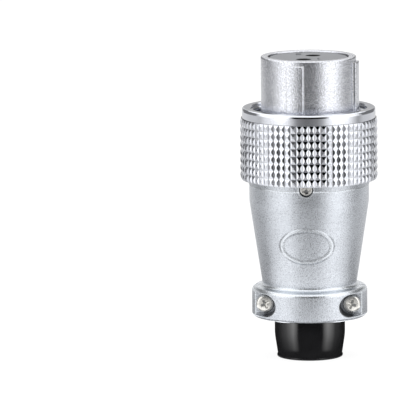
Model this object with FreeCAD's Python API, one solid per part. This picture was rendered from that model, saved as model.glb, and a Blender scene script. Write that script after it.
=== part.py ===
import FreeCAD, Part
import math
import os

# Cable plug of a circular two-pole connector with a threaded coupling ring, in millimetres.
# Z runs up the plug's axis, from the open end of the cable grommet at z = 0 to the mating nose.
# The clamp screws, the lock screw and the cast oval face -Y. Angles are turned from -Y towards +X.

# Fits between pieces
SEAT_GAP = 0.05
RUNNING_CLEARANCE = 0.10
SKIRT_CLEARANCE = 0.30
SADDLE_CLEARANCE = 0.30
# How far a cutting tool runs past the piece it cuts
OVERRUN = 1.0

# Cable grommet
CABLE_R = 4.5
GROMMET_WALL = 3.75
GROMMET_SHOWN = 10.1
GROMMET_BULGE = 0.27
GROMMET_BULGE_Z = 5.4
GROMMET_BULGE_ROUND = 12.0
GROMMET_SHOULDER_ROUND = 0.25
GROMMET_DRAW_IN = 0.28
GROMMET_LIP_HEIGHT = 0.5
GROMMET_LIP_STEP = 0.2
GROMMET_LIP_ROUND = 0.15
GROMMET_FLANGE_STEP = 0.85
GROMMET_FLANGE_THICKNESS = 2.0
GROMMET_WASHER_THICKNESS = 1.0
GROMMET_WASHER_ROOM = 0.9

# Clamp screws and their split washers
CLAMP_SCREW_R = 1.0
CLAMP_SCREW_ROOM = 0.15
CLAMP_SCREW_WALL = 1.0
CLAMP_SCREW_REACH_Y = 8.0
CLAMP_HEAD_R = 2.15
CLAMP_HEAD_HEIGHT = 1.35
CLAMP_HEAD_ROUND = 0.5
WASHER_WIDTH = 0.75
WASHER_THICKNESS = 0.5
WASHER_SPLIT = 0.35
RECESS_LENGTH = 1.9
RECESS_WIDTH = 0.42
RECESS_DEPTH = 0.7

# Clamp collar: its front half is cast with the rear shell, its rear half is the saddle
POCKET_ROOM = 0.6
POCKET_WALL = 0.9
POCKET_FLOOR_Y = -5.4
COLLAR_BEYOND_SCREW = 3.55
COLLAR_TOP_ROUND = 1.2
COLLAR_FOOT_ROUND = 0.8
COLLAR_NECK_FILLET = 1.0
COLLAR_SPLIT = 0.6
SADDLE_TOP_GAP = 0.3

# Front barrel
BARREL_R = 11.5
BARREL_WALL = 1.8
BARREL_RIM_ROUND = 0.35
NOSE_LENGTH = 19.0
MATING_SLEEVE = 2.5
THREAD_ROOM = 0.9
FLANGE_STEP = 1.1
FLANGE_THICKNESS = 1.55
NECK_WALL = 1.4
NECK_CHAMFER = 0.4
NECK_SCREWED_LENGTH = 6.7
NECK_BORE_ABOVE_FLANGE = 3.8
GASKET_STEP = 0.2
GASKET_THICKNESS = 1.0
GASKET_CHAMFER = 0.25
KEY_ANGLES = (-13.5, 82.0, 208.0)
KEY_WIDTH = 4.3
KEY_HEIGHT = 0.7
KEY_BELOW_RIM = 1.2
KEY_ROUND = 0.3
# Turns the tube's seam, where its revolved surface starts, away from the keys
BARREL_SEAM_TURN = 55.0

# Rear shell: a cone below a plain cylinder, with a floor that the grommet's flange rests on
SHELL_WALL = 2.4
SHELL_FOOT_WALL = 3.05
SHELL_TAPER_LENGTH = 20.7
SHELL_SHOULDER_ROUND = 9.0
SHELL_CYLINDER_LENGTH = 9.1
SHELL_FRONT_CHAMFER = 0.25
SHELL_LAND_STEP = 0.1
SHELL_LAND_SHOWN = 1.4
SHELL_FLOOR_THICKNESS = 1.9
SHELL_FLOOR_ROUND = 0.2
SEAL_SQUEEZE = 0.02
SEAL_SIDES = 10

# Cast oval frame on the front of the cone, with a bare field
OVAL_ABOVE_COLLAR = 11.3
OVAL_HALF_WIDTH = 6.5
OVAL_HALF_HEIGHT = 4.4
OVAL_LINE = 0.8
OVAL_RELIEF = 0.17

# Lock screw, under the ring's lower edge
LOCK_SCREW_DROP = 4.5
LOCK_HEAD_R = 1.6
LOCK_HEAD_HEIGHT = 1.0
LOCK_HEAD_CHAMFER = 0.2
LOCK_HEAD_SUNK = 0.15
LOCK_SEAT_ROOM = 0.15
LOCK_SHANK_R = 1.0

# Coupling ring
KNURL_COLUMNS = 70
KNURL_ROWS = 8
KNURL_ROW_PITCH = 1.85
KNURL_CREST_WIDTH = 0.42
KNURL_COLUMN_DEPTH = 0.23
KNURL_ROW_CREST = 0.45
KNURL_ROW_DEPTH = 0.21
RING_SKIRT_WALL = 1.8
RING_BAND_STEP = 0.43
RING_BAND_HEIGHT = 2.5
RING_TOP_ROUND = 0.45
RING_MOUTH_CHAMFER = 0.25
RING_LIP_THICKNESS = 1.8
RING_SKIRT_LENGTH = 3.75
RING_FLOAT = 3.0
SLIP_WASHER_THICKNESS = 0.5

# Insulators and their retaining ring
FACE_RECESS = 0.4
FACE_CHAMFER = 0.2
INSERT_RIM_GAP = 0.15
INSERT_FLANGE_HEIGHT = 1.6
INSERT_REAR_HEIGHT = 7.2
INSERT_RIB_WIDTH = 1.6
INSERT_RIB_HEIGHT = 0.55
SNAP_RING_THICKNESS = 1.0
SNAP_RING_GROOVE = 0.55
SNAP_RING_WIDTH = 1.6
SNAP_RING_OPENING = 5.0

# Contacts
CONTACT_ANGLES = (-14.5, 165.5)
CONTACT_WEB = 2.14
PIN_R = 1.5
PIN_MOUTH_ROOM = 0.3
PIN_MOUTH_CHAMFER = 0.1
PIN_MOUTH_DEPTH = 1.6
SOCKET_WALL = 0.5
SOCKET_TIP_CHAMFER = 0.2
SOCKET_TIP_GAP = 0.2
SOCKET_DEPTH = 10.5
SOCKET_SLOTS = 4
SOCKET_SLOT_TURN = 45
SOCKET_SLOT_WIDTH = 0.4
SOCKET_SLOT_LENGTH = 8.5
CONTACT_COLLAR_STEP = 0.7
CONTACT_COLLAR_HALF = 1.0
CUP_LENGTH = 6.5
CUP_WALL = 0.7
CUP_BORE_DEPTH = 5.0
CUP_WINDOW_LENGTH = 3.0
SPRING_WALL = 0.3
SPRING_LENGTH = 5.5
SPRING_BELOW_TIP = 1.5
SPRING_OPENING = 0.7
SPRING_ROOM = 0.15

# Radii that follow from a mating piece, from the cable and from the nose outwards
GROMMET_NECK_R = CABLE_R + GROMMET_WALL
GROMMET_FLANGE_R = GROMMET_NECK_R + GROMMET_FLANGE_STEP
GROMMET_HOLE_R = GROMMET_NECK_R + SEAT_GAP
SADDLE_BORE_R = GROMMET_NECK_R + SADDLE_CLEARANCE
SHELL_TAPER_FOOT_R = GROMMET_NECK_R + SHELL_FOOT_WALL
SHELL_CAVITY_FOOT_R = GROMMET_FLANGE_R + 4 * SEAT_GAP
CLAMP_SCREW_HOLE_R = CLAMP_SCREW_R + CLAMP_SCREW_ROOM
CLAMP_SCREW_X = GROMMET_NECK_R + CLAMP_SCREW_WALL + CLAMP_SCREW_HOLE_R
COLLAR_R = CLAMP_SCREW_X + COLLAR_BEYOND_SCREW
POCKET_R = CLAMP_HEAD_R + POCKET_ROOM
COLLAR_HEIGHT = 2 * (POCKET_R + POCKET_WALL)
BARREL_BORE_R = BARREL_R - BARREL_WALL
RING_THREAD_R = BARREL_R + MATING_SLEEVE
FLANGE_R = RING_THREAD_R - THREAD_ROOM
NECK_R = FLANGE_R - FLANGE_STEP
NECK_BORE_R = NECK_R - NECK_WALL
GASKET_R = FLANGE_R - GASKET_STEP
SEAL_CORD_R = NECK_WALL / 2 - SEAL_SQUEEZE
SHELL_THREAD_R = NECK_R + SEAT_GAP
SHELL_R = SHELL_THREAD_R + SHELL_WALL
RING_LIP_R = NECK_R + RUNNING_CLEARANCE
RING_SKIRT_R = SHELL_R + SKIRT_CLEARANCE
KNURL_R = RING_SKIRT_R + RING_SKIRT_WALL
RING_BAND_R = KNURL_R - RING_BAND_STEP
LOCK_SEAT_R = LOCK_HEAD_R + LOCK_SEAT_ROOM
INSERT_R = BARREL_BORE_R - INSERT_RIM_GAP
INSERT_FLANGE_R = NECK_BORE_R - SEAT_GAP
INSERT_RIB_R = NECK_BORE_R + INSERT_RIB_HEIGHT
SNAP_GROOVE_R = NECK_BORE_R + SNAP_RING_GROOVE
PIN_MOUTH_R = PIN_R + PIN_MOUTH_ROOM
SOCKET_R = PIN_R + SOCKET_WALL
CUP_BORE_R = SOCKET_R - CUP_WALL
CONTACT_COLLAR_R = SOCKET_R + CONTACT_COLLAR_STEP
CONTACT_RADIUS_OUT = CONTACT_COLLAR_R + CONTACT_WEB / 2
SPRING_R = SOCKET_R + SPRING_WALL
SPRING_HOLE_R = SPRING_R + SPRING_ROOM

# Places along the axis, worked out from the lengths above
COLLAR_FOOT_Z = GROMMET_SHOWN
COLLAR_TOP_Z = COLLAR_FOOT_Z + COLLAR_HEIGHT
COLLAR_MID_Z = COLLAR_FOOT_Z + COLLAR_HEIGHT / 2
SHELL_FOOT_Z = COLLAR_TOP_Z + SADDLE_TOP_GAP
SHELL_FLOOR_Z = SHELL_FOOT_Z + SHELL_FLOOR_THICKNESS
OVAL_Z = COLLAR_TOP_Z + OVAL_ABOVE_COLLAR
SHELL_SHOULDER_Z = COLLAR_TOP_Z + SHELL_TAPER_LENGTH
SHELL_FRONT_Z = SHELL_SHOULDER_Z + SHELL_CYLINDER_LENGTH
NECK_END_Z = SHELL_FRONT_Z - NECK_SCREWED_LENGTH
SEAL_Z = NECK_END_Z - SEAL_CORD_R - SEAT_GAP
SEAL_SEAT_Z = SEAL_Z - SEAL_CORD_R - SEAT_GAP
LOCK_SCREW_Z = SHELL_FRONT_Z - LOCK_SCREW_DROP
LIP_Z = SHELL_FRONT_Z + SEAT_GAP
LIP_TOP_Z = LIP_Z + RING_LIP_THICKNESS
SLIP_WASHER_Z = LIP_TOP_Z + SEAT_GAP
FLANGE_Z = SLIP_WASHER_Z + SLIP_WASHER_THICKNESS + RING_FLOAT + SEAT_GAP
FLANGE_TOP_Z = FLANGE_Z + FLANGE_THICKNESS
RIM_Z = FLANGE_TOP_Z + NOSE_LENGTH
RING_FOOT_Z = LIP_Z - RING_SKIRT_LENGTH
SHELL_LAND_Z = RING_FOOT_Z - SHELL_LAND_SHOWN
KNURL_TOP_Z = RING_FOOT_Z + KNURL_ROWS * KNURL_ROW_PITCH
RING_TOP_Z = KNURL_TOP_Z + RING_BAND_HEIGHT
BORE_STEP_Z = FLANGE_TOP_Z + NECK_BORE_ABOVE_FLANGE
FACE_Z = RIM_Z - FACE_RECESS
INSERT_SPLIT_Z = BORE_STEP_Z - INSERT_FLANGE_HEIGHT
INSERT_REAR_Z = INSERT_SPLIT_Z - INSERT_REAR_HEIGHT
SNAP_RING_Z = INSERT_REAR_Z - SNAP_RING_THICKNESS
SOCKET_TIP_Z = FACE_Z - PIN_MOUTH_DEPTH - SOCKET_TIP_GAP

AXIS = FreeCAD.Vector(0, 0, 1)
ORIGIN = FreeCAD.Vector(0, 0, 0)
FRONT = FreeCAD.Vector(0, -1, 0)


def around(shape, degrees):
    """A copy of the shape, turned about the plug's axis from -Y towards +X."""
    copy = shape.copy()
    copy.rotate(ORIGIN, AXIS, degrees)
    return copy


def rod(radius, low, high, x=0.0, y=0.0):
    """An upright cylinder between two heights."""
    return Part.makeCylinder(radius, high - low, FreeCAD.Vector(x, y, low), AXIS)


def front_rod(radius, near, far, x, z):
    """A cylinder along Y, between two values of y."""
    return Part.makeCylinder(radius, far - near, FreeCAD.Vector(x, near, z), FreeCAD.Vector(0, 1, 0))


def block(low, high):
    """A box between two corners."""
    size = [b - a for a, b in zip(low, high)]
    return Part.makeBox(*size, FreeCAD.Vector(*low))


def corner_arc(before, corner, after, radius):
    """The two ends and the middle of the arc that rounds a corner of a profile."""
    to_before = (before - corner).normalize()
    to_after = (after - corner).normalize()
    half = to_before.getAngle(to_after) / 2
    reach = radius / math.tan(half)
    inward = (to_before + to_after).normalize()
    middle = corner + inward * (radius / math.sin(half) - radius)
    return corner + to_before * reach, middle, corner + to_after * reach


def turned(profile):
    """The solid that a closed profile of (radius, height) or (radius, height, rounding) sweeps out."""
    points = [FreeCAD.Vector(p[0], 0, p[1]) for p in profile]
    rounds = [p[2] if len(p) > 2 else 0.0 for p in profile]
    starts, ends, arcs = [], [], []
    for i, corner in enumerate(points):
        if rounds[i] > 0:
            after = points[(i + 1) % len(points)]
            start, middle, end = corner_arc(points[i - 1], corner, after, rounds[i])
            arcs.append(Part.Arc(start, middle, end).toShape())
        else:
            start = end = corner
            arcs.append(None)
        starts.append(start)
        ends.append(end)
    edges = []
    for i, arc in enumerate(arcs):
        if arc:
            edges.append(arc)
        edges.append(Part.LineSegment(ends[i], starts[(i + 1) % len(points)]).toShape())
    return Part.Face(Part.Wire(edges)).revolve(ORIGIN, AXIS, 360)


def sleeve(inner, outer, low, high):
    """A plain ring between two radii and two heights."""
    return turned([(inner, low), (outer, low), (outer, high), (inner, high)])


def cross_recess(y, x, z):
    """The cross-shaped driver recess of a screw whose head ends at this y."""
    half = RECESS_LENGTH / 2
    thin = RECESS_WIDTH / 2
    deep = y + RECESS_DEPTH
    start = y - OVERRUN
    bar = block((x - half, start, z - thin), (x + half, deep, z + thin))
    post = block((x - thin, start, z - half), (x + thin, deep, z + half))
    return bar.fuse(post)


def barrel_key(angle):
    """One raised key along the nose, with its outer edges rounded."""
    key_r = BARREL_R + KEY_HEIGHT
    low = FLANGE_TOP_Z + GASKET_THICKNESS + SEAT_GAP
    high = RIM_Z - KEY_BELOW_RIM
    half = KEY_WIDTH / 2
    bar = block((-half, -key_r - OVERRUN, low), (half, -(BARREL_BORE_R + BARREL_R) / 2, high))
    bar = bar.common(rod(key_r, low, high))
    outer = [e for e in bar.Edges if e.BoundBox.YMax < -BARREL_R and e.BoundBox.ZMax > low + KEY_ROUND]
    return around(bar.makeFillet(KEY_ROUND, outer), angle)


def insert_rib(low, high, grow):
    """The rib that stops an insulator from turning, or its slot in the barrel."""
    half = INSERT_RIB_WIDTH / 2 + grow
    rib = block((-half, -INSERT_RIB_R - grow, low), (half, OVERRUN - BARREL_BORE_R, high))
    return around(rib, KEY_ANGLES[0])


def front_barrel():
    """The die-cast nose: a keyed tube with a stop flange and a threaded neck behind it."""
    body = turned([
        (NECK_BORE_R, NECK_END_Z),
        (NECK_R - NECK_CHAMFER, NECK_END_Z),
        (NECK_R, NECK_END_Z + NECK_CHAMFER),
        (NECK_R, FLANGE_Z),
        (FLANGE_R, FLANGE_Z),
        (FLANGE_R, FLANGE_TOP_Z),
        (BARREL_R, FLANGE_TOP_Z),
        (BARREL_R, RIM_Z, BARREL_RIM_ROUND),
        (BARREL_BORE_R, RIM_Z, BARREL_RIM_ROUND),
        (BARREL_BORE_R, BORE_STEP_Z),
        (NECK_BORE_R, BORE_STEP_Z),
    ])
    body = around(body, BARREL_SEAM_TURN)
    for angle in KEY_ANGLES:
        body = body.fuse(barrel_key(angle))
    groove_low = SNAP_RING_Z - SEAT_GAP
    groove = sleeve(NECK_BORE_R - OVERRUN, SNAP_GROOVE_R, groove_low, INSERT_REAR_Z)
    slot = insert_rib(NECK_END_Z - OVERRUN, BORE_STEP_Z, SEAT_GAP)
    return body.cut(groove).cut(slot)


def contact_place(angle):
    """Where a contact's axis stands."""
    turn = math.radians(angle)
    return CONTACT_RADIUS_OUT * math.sin(turn), -CONTACT_RADIUS_OUT * math.cos(turn)


def insert_front():
    """The front insulator: its face fills the nose, and its flange stops behind the bore's step."""
    body = turned([
        (0, INSERT_SPLIT_Z),
        (INSERT_FLANGE_R, INSERT_SPLIT_Z),
        (INSERT_FLANGE_R, BORE_STEP_Z),
        (INSERT_R, BORE_STEP_Z),
        (INSERT_R, FACE_Z - FACE_CHAMFER),
        (INSERT_R - FACE_CHAMFER, FACE_Z),
        (0, FACE_Z),
    ])
    body = body.fuse(insert_rib(INSERT_SPLIT_Z, BORE_STEP_Z, 0))
    mouth_z = FACE_Z - PIN_MOUTH_DEPTH
    for angle in CONTACT_ANGLES:
        hole = turned([
            (0, INSERT_SPLIT_Z - OVERRUN),
            (CONTACT_COLLAR_R + SEAT_GAP, INSERT_SPLIT_Z - OVERRUN),
            (CONTACT_COLLAR_R + SEAT_GAP, INSERT_SPLIT_Z + CONTACT_COLLAR_HALF),
            (SPRING_HOLE_R, INSERT_SPLIT_Z + CONTACT_COLLAR_HALF),
            (SPRING_HOLE_R, mouth_z),
            (PIN_MOUTH_R, mouth_z),
            (PIN_MOUTH_R, FACE_Z - PIN_MOUTH_CHAMFER),
            (PIN_MOUTH_R + PIN_MOUTH_CHAMFER, FACE_Z),
            (PIN_MOUTH_R + PIN_MOUTH_CHAMFER, FACE_Z + OVERRUN),
            (0, FACE_Z + OVERRUN),
        ])
        x, y = contact_place(angle)
        hole.translate(FreeCAD.Vector(x, y, 0))
        body = body.cut(hole)
    return body


def insert_rear():
    """The rear insulator, which traps the contacts' collars against the front one."""
    body = rod(INSERT_FLANGE_R, INSERT_REAR_Z, INSERT_SPLIT_Z)
    body = body.fuse(insert_rib(INSERT_REAR_Z, INSERT_SPLIT_Z, 0))
    for angle in CONTACT_ANGLES:
        x, y = contact_place(angle)
        collar_low = INSERT_SPLIT_Z - CONTACT_COLLAR_HALF
        seat = rod(CONTACT_COLLAR_R + SEAT_GAP, collar_low, INSERT_SPLIT_Z + OVERRUN, x, y)
        hole = rod(SOCKET_R + SEAT_GAP, INSERT_REAR_Z - OVERRUN, INSERT_SPLIT_Z, x, y)
        body = body.cut(seat).cut(hole)
    return body


def contact(angle):
    """A turned socket contact: slotted tube in front, collar in the middle, solder cup behind."""
    cup_end = INSERT_REAR_Z - CUP_LENGTH
    body = turned([
        (0, cup_end),
        (SOCKET_R, cup_end),
        (SOCKET_R, INSERT_SPLIT_Z - CONTACT_COLLAR_HALF),
        (CONTACT_COLLAR_R, INSERT_SPLIT_Z - CONTACT_COLLAR_HALF),
        (CONTACT_COLLAR_R, INSERT_SPLIT_Z + CONTACT_COLLAR_HALF),
        (SOCKET_R, INSERT_SPLIT_Z + CONTACT_COLLAR_HALF),
        (SOCKET_R, SOCKET_TIP_Z - SOCKET_TIP_CHAMFER),
        (SOCKET_R - SOCKET_TIP_CHAMFER, SOCKET_TIP_Z),
        (0, SOCKET_TIP_Z),
    ])
    body = body.cut(rod(PIN_R, SOCKET_TIP_Z - SOCKET_DEPTH, SOCKET_TIP_Z + OVERRUN))
    body = body.cut(rod(CUP_BORE_R, cup_end - OVERRUN, cup_end + CUP_BORE_DEPTH))
    window_top = cup_end + CUP_WINDOW_LENGTH
    body = body.cut(block((-SOCKET_R, -SOCKET_R, cup_end - OVERRUN), (SOCKET_R, 0, window_top)))
    slot_low = SOCKET_TIP_Z - SOCKET_SLOT_LENGTH
    half = SOCKET_SLOT_WIDTH / 2
    slot = block((-half, 0, slot_low), (half, SOCKET_R + OVERRUN, SOCKET_TIP_Z + OVERRUN))
    for i in range(SOCKET_SLOTS):
        body = body.cut(around(slot, SOCKET_SLOT_TURN + i * 360 / SOCKET_SLOTS))
    x, y = contact_place(angle)
    body = around(body, angle)
    body.translate(FreeCAD.Vector(x, y, 0))
    return body


def contact_spring(angle):
    """An open band that holds the slotted end of a contact closed."""
    high = SOCKET_TIP_Z - SPRING_BELOW_TIP
    low = high - SPRING_LENGTH
    band = sleeve(SOCKET_R + SEAT_GAP / 2, SPRING_R, low, high)
    half = SPRING_OPENING / 2
    opening = block((-half, -SPRING_R - OVERRUN, low - OVERRUN), (half, 0, high + OVERRUN))
    band = band.cut(opening)
    x, y = contact_place(angle)
    band = around(band, angle)
    band.translate(FreeCAD.Vector(x, y, 0))
    return band


def insert_snap_ring():
    """An open retaining ring, sprung into the barrel's groove behind the insulators."""
    outer = SNAP_GROOVE_R - SEAT_GAP
    ring = sleeve(outer - SNAP_RING_WIDTH, outer, SNAP_RING_Z, INSERT_REAR_Z)
    half = SNAP_RING_OPENING / 2
    low = SNAP_RING_Z - OVERRUN
    opening = block((-half, -outer - OVERRUN, low), (half, 0, INSERT_REAR_Z + OVERRUN))
    return ring.cut(around(opening, KEY_ANGLES[0]))


def face_gasket():
    """The rubber ring on the flange, round the root of the nose."""
    top = FLANGE_TOP_Z + GASKET_THICKNESS
    return turned([
        (BARREL_R + SEAT_GAP, FLANGE_TOP_Z),
        (GASKET_R, FLANGE_TOP_Z),
        (GASKET_R, top - GASKET_CHAMFER),
        (GASKET_R - GASKET_CHAMFER, top),
        (BARREL_R + SEAT_GAP, top),
    ])


def slip_washer():
    """The flat washer between the ring's lip and the barrel's flange."""
    top = SLIP_WASHER_Z + SLIP_WASHER_THICKNESS
    return sleeve(RING_LIP_R, FLANGE_R, SLIP_WASHER_Z, top)


def shell_seal_ring():
    """The sealing ring between the barrel's rear end and the step inside the rear shell."""
    middle = (NECK_R + NECK_BORE_R) / 2
    sides = []
    for i in range(SEAL_SIDES):
        turn = (i + 0.5) * 2 * math.pi / SEAL_SIDES
        sides.append((middle + SEAL_CORD_R * math.cos(turn), SEAL_Z + SEAL_CORD_R * math.sin(turn)))
    return turned(sides)


def ring_point(radius, turn, z):
    """A point at a radius and a turn in radians from -Y towards +X."""
    return FreeCAD.Vector(radius * math.sin(turn), -radius * math.cos(turn), z)


def knurl_rows():
    """The rows alone: a many-sided rod that swells and narrows once for each row."""
    pitch = 2 * math.pi / KNURL_COLUMNS
    across_corners = 1 / math.cos(pitch / 2)
    root = KNURL_R - KNURL_ROW_DEPTH
    peak = root + KNURL_ROW_DEPTH * KNURL_ROW_PITCH / (KNURL_ROW_PITCH - KNURL_ROW_CREST)
    levels = []
    for step in range(2 * KNURL_ROWS + 1):
        radius = (peak if step % 2 else root) * across_corners
        z = RING_FOOT_Z + step * KNURL_ROW_PITCH / 2
        levels.append([ring_point(radius, (i + 0.5) * pitch, z) for i in range(KNURL_COLUMNS)])
    faces = [Part.Face(Part.makePolygon(level + level[:1])) for level in (levels[0], levels[-1])]
    for low, high in zip(levels, levels[1:]):
        for i in range(KNURL_COLUMNS):
            corners = [low[i - 1], low[i], high[i], high[i - 1], low[i - 1]]
            faces.append(Part.Face(Part.makePolygon(corners)))
    return Part.Solid(Part.Shell(faces))


def knurl_columns():
    """The columns alone: a toothed rod, whose flat crests take the peaks off the rows."""
    pitch = 2 * math.pi / KNURL_COLUMNS
    half_crest = KNURL_CREST_WIDTH / 2 / KNURL_R
    root = KNURL_R - KNURL_COLUMN_DEPTH
    teeth = []
    for column in range(KNURL_COLUMNS):
        middle = column * pitch
        for radius, turn in ((KNURL_R, -half_crest), (KNURL_R, half_crest), (root, pitch / 2)):
            teeth.append(ring_point(radius, middle + turn, RING_FOOT_Z))
    teeth.append(teeth[0])
    return Part.Face(Part.makePolygon(teeth)).extrude(AXIS * (KNURL_TOP_Z - RING_FOOT_Z))


def coupling_ring():
    """The captive union nut: threaded bore, inward lip, skirt over the rear shell, knurled outside."""
    knurled = knurl_columns().common(knurl_rows())
    band = turned([
        (0, KNURL_TOP_Z),
        (RING_BAND_R, KNURL_TOP_Z),
        (RING_BAND_R, RING_TOP_Z, RING_TOP_ROUND),
        (0, RING_TOP_Z),
    ])
    bore = turned([
        (0, RING_FOOT_Z - OVERRUN),
        (RING_SKIRT_R, RING_FOOT_Z - OVERRUN),
        (RING_SKIRT_R, LIP_Z),
        (RING_LIP_R, LIP_Z),
        (RING_LIP_R, LIP_TOP_Z),
        (RING_THREAD_R, LIP_TOP_Z),
        (RING_THREAD_R, RING_TOP_Z - RING_MOUTH_CHAMFER),
        (RING_THREAD_R + RING_MOUTH_CHAMFER, RING_TOP_Z),
        (RING_THREAD_R + RING_MOUTH_CHAMFER, RING_TOP_Z + OVERRUN),
        (0, RING_TOP_Z + OVERRUN),
    ])
    return knurled.fuse(band).cut(bore)


def half_collar(bore_r, front):
    """One half of the clamp collar, with its bore; the front half has the neck that joins the shell."""
    profile = [
        (bore_r, COLLAR_FOOT_Z),
        (COLLAR_R, COLLAR_FOOT_Z, COLLAR_FOOT_ROUND),
        (COLLAR_R, COLLAR_TOP_Z, COLLAR_TOP_ROUND),
    ]
    if front:
        neck_r = SHELL_TAPER_FOOT_R + 2 * SEAT_GAP
        profile += [(neck_r, COLLAR_TOP_Z, COLLAR_NECK_FILLET), (neck_r, SHELL_FLOOR_Z)]
        profile += [(bore_r, SHELL_FLOOR_Z)]
    else:
        profile += [(bore_r, COLLAR_TOP_Z)]
    reach = COLLAR_R + OVERRUN
    low = COLLAR_FOOT_Z - OVERRUN
    high = SHELL_FLOOR_Z + OVERRUN
    gap = COLLAR_SPLIT / 2
    if front:
        keep = block((-reach, -reach, low), (reach, -gap, high))
    else:
        keep = block((-reach, gap, low), (reach, reach, high))
    return turned(profile).common(keep)


def screw_pocket(side):
    """The pocket that a clamp screw's head sits in: round inside, and open towards the side."""
    x = side * CLAMP_SCREW_X
    out = side * (COLLAR_R + OVERRUN)
    reach = -COLLAR_R - OVERRUN
    well = front_rod(POCKET_R, reach, POCKET_FLOOR_Y, x, COLLAR_MID_Z)
    way_out = block(
        (min(x, out), reach, COLLAR_MID_Z - POCKET_R),
        (max(x, out), POCKET_FLOOR_Y, COLLAR_MID_Z + POCKET_R),
    )
    shank = front_rod(CLAMP_SCREW_HOLE_R, reach, 0, x, COLLAR_MID_Z)
    return well.fuse([way_out, shank])


def taper_radius(z):
    """The rear shell's outer radius at a height on its cone."""
    share = (z - COLLAR_TOP_Z) / SHELL_TAPER_LENGTH
    return SHELL_TAPER_FOOT_R + share * (SHELL_R - SHELL_TAPER_FOOT_R)


def oval_frame():
    """The raised oval line on the front of the cone."""
    low = OVAL_Z - OVAL_HALF_HEIGHT - OVERRUN
    high = OVAL_Z + OVAL_HALF_HEIGHT + OVERRUN
    skin = turned([
        (taper_radius(low) - SHELL_WALL / 2, low),
        (taper_radius(low) + OVAL_RELIEF, low),
        (taper_radius(high) + OVAL_RELIEF, high),
        (taper_radius(high) - SHELL_WALL / 2, high),
    ])
    centre = FreeCAD.Vector(0, 0, OVAL_Z)
    rims = []
    for inset in (0.0, OVAL_LINE):
        rim = Part.Ellipse(ORIGIN, OVAL_HALF_WIDTH - inset, OVAL_HALF_HEIGHT - inset).toShape()
        rim.rotate(ORIGIN, FreeCAD.Vector(1, 0, 0), 90)
        rim.translate(centre)
        rims.append(Part.Face(Part.Wire([rim])).extrude(FRONT * (SHELL_R + OVERRUN)))
    return skin.common(rims[0].cut(rims[1]))


def rear_shell():
    """The cast back shell with its cone, clamp half, oval frame and screw seats."""
    body = turned([
        (GROMMET_HOLE_R, SHELL_FOOT_Z),
        (taper_radius(SHELL_FOOT_Z), SHELL_FOOT_Z),
        (SHELL_R, SHELL_SHOULDER_Z, SHELL_SHOULDER_ROUND),
        (SHELL_R, SHELL_LAND_Z),
        (SHELL_R + SHELL_LAND_STEP, SHELL_LAND_Z),
        (SHELL_R + SHELL_LAND_STEP, SHELL_FRONT_Z, SHELL_FRONT_CHAMFER),
        (SHELL_THREAD_R, SHELL_FRONT_Z),
        (SHELL_THREAD_R, SEAL_SEAT_Z),
        (NECK_BORE_R, SEAL_SEAT_Z),
        (SHELL_CAVITY_FOOT_R, SHELL_FLOOR_Z, SHELL_FLOOR_ROUND),
        (GROMMET_HOLE_R, SHELL_FLOOR_Z),
    ])
    body = body.fuse(half_collar(GROMMET_HOLE_R, True))
    body = body.fuse(oval_frame())
    for side in (-1, 1):
        body = body.cut(screw_pocket(side))
    seat_y = -SHELL_R + LOCK_HEAD_SUNK + LOCK_HEAD_HEIGHT
    seat = front_rod(LOCK_SEAT_R, -SHELL_R - OVERRUN, seat_y, 0, LOCK_SCREW_Z)
    hole = front_rod(LOCK_SHANK_R + SEAT_GAP, -SHELL_R, OVERRUN - NECK_R, 0, LOCK_SCREW_Z)
    return body.cut(seat.fuse(hole)).removeSplitter()


def front_rim(head):
    """The edge round the front of a screw's head."""
    face_y = head.BoundBox.YMin
    return [e for e in head.Edges if e.BoundBox.YMax < face_y + SEAT_GAP]


def lock_screw():
    """The short screw that stops the rear shell from unscrewing off the barrel."""
    face_y = -SHELL_R + LOCK_HEAD_SUNK
    under_y = face_y + LOCK_HEAD_HEIGHT
    head = front_rod(LOCK_HEAD_R, face_y, under_y, 0, LOCK_SCREW_Z)
    head = head.makeChamfer(LOCK_HEAD_CHAMFER, front_rim(head))
    shank = front_rod(LOCK_SHANK_R, under_y, -SHELL_THREAD_R, 0, LOCK_SCREW_Z)
    return head.fuse(shank).cut(cross_recess(face_y, 0, LOCK_SCREW_Z))


def clamp_screw(side):
    """A pan-head screw with a cross recess, seated on its split washer."""
    x = side * CLAMP_SCREW_X
    under_y = POCKET_FLOOR_Y - WASHER_THICKNESS
    face_y = under_y - CLAMP_HEAD_HEIGHT
    head = front_rod(CLAMP_HEAD_R, face_y, under_y, x, COLLAR_MID_Z)
    head = head.makeFillet(CLAMP_HEAD_ROUND, front_rim(head))
    shank = front_rod(CLAMP_SCREW_R, under_y, CLAMP_SCREW_REACH_Y, x, COLLAR_MID_Z)
    return head.fuse(shank).cut(cross_recess(face_y, x, COLLAR_MID_Z))


def spring_washer(side):
    """A split washer under a clamp screw's head."""
    x = side * CLAMP_SCREW_X
    low = POCKET_FLOOR_Y - WASHER_THICKNESS
    hole_r = CLAMP_SCREW_R + SEAT_GAP
    washer_r = hole_r + WASHER_WIDTH
    washer = front_rod(washer_r, low, POCKET_FLOOR_Y, x, COLLAR_MID_Z)
    washer = washer.cut(front_rod(hole_r, low, POCKET_FLOOR_Y, x, COLLAR_MID_Z))
    half = WASHER_SPLIT / 2
    top = COLLAR_MID_Z + washer_r + OVERRUN
    split = block((x - half, low - OVERRUN, COLLAR_MID_Z), (x + half, POCKET_FLOOR_Y + OVERRUN, top))
    return washer.cut(split)


def clamp_saddle():
    """The loose rear half of the clamp collar, drawn in by the two screws."""
    body = half_collar(SADDLE_BORE_R, False)
    for side in (-1, 1):
        x = side * CLAMP_SCREW_X
        hole_r = CLAMP_SCREW_R + SEAT_GAP
        body = body.cut(front_rod(hole_r, 0, COLLAR_R, x, COLLAR_MID_Z))
    return body


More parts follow.
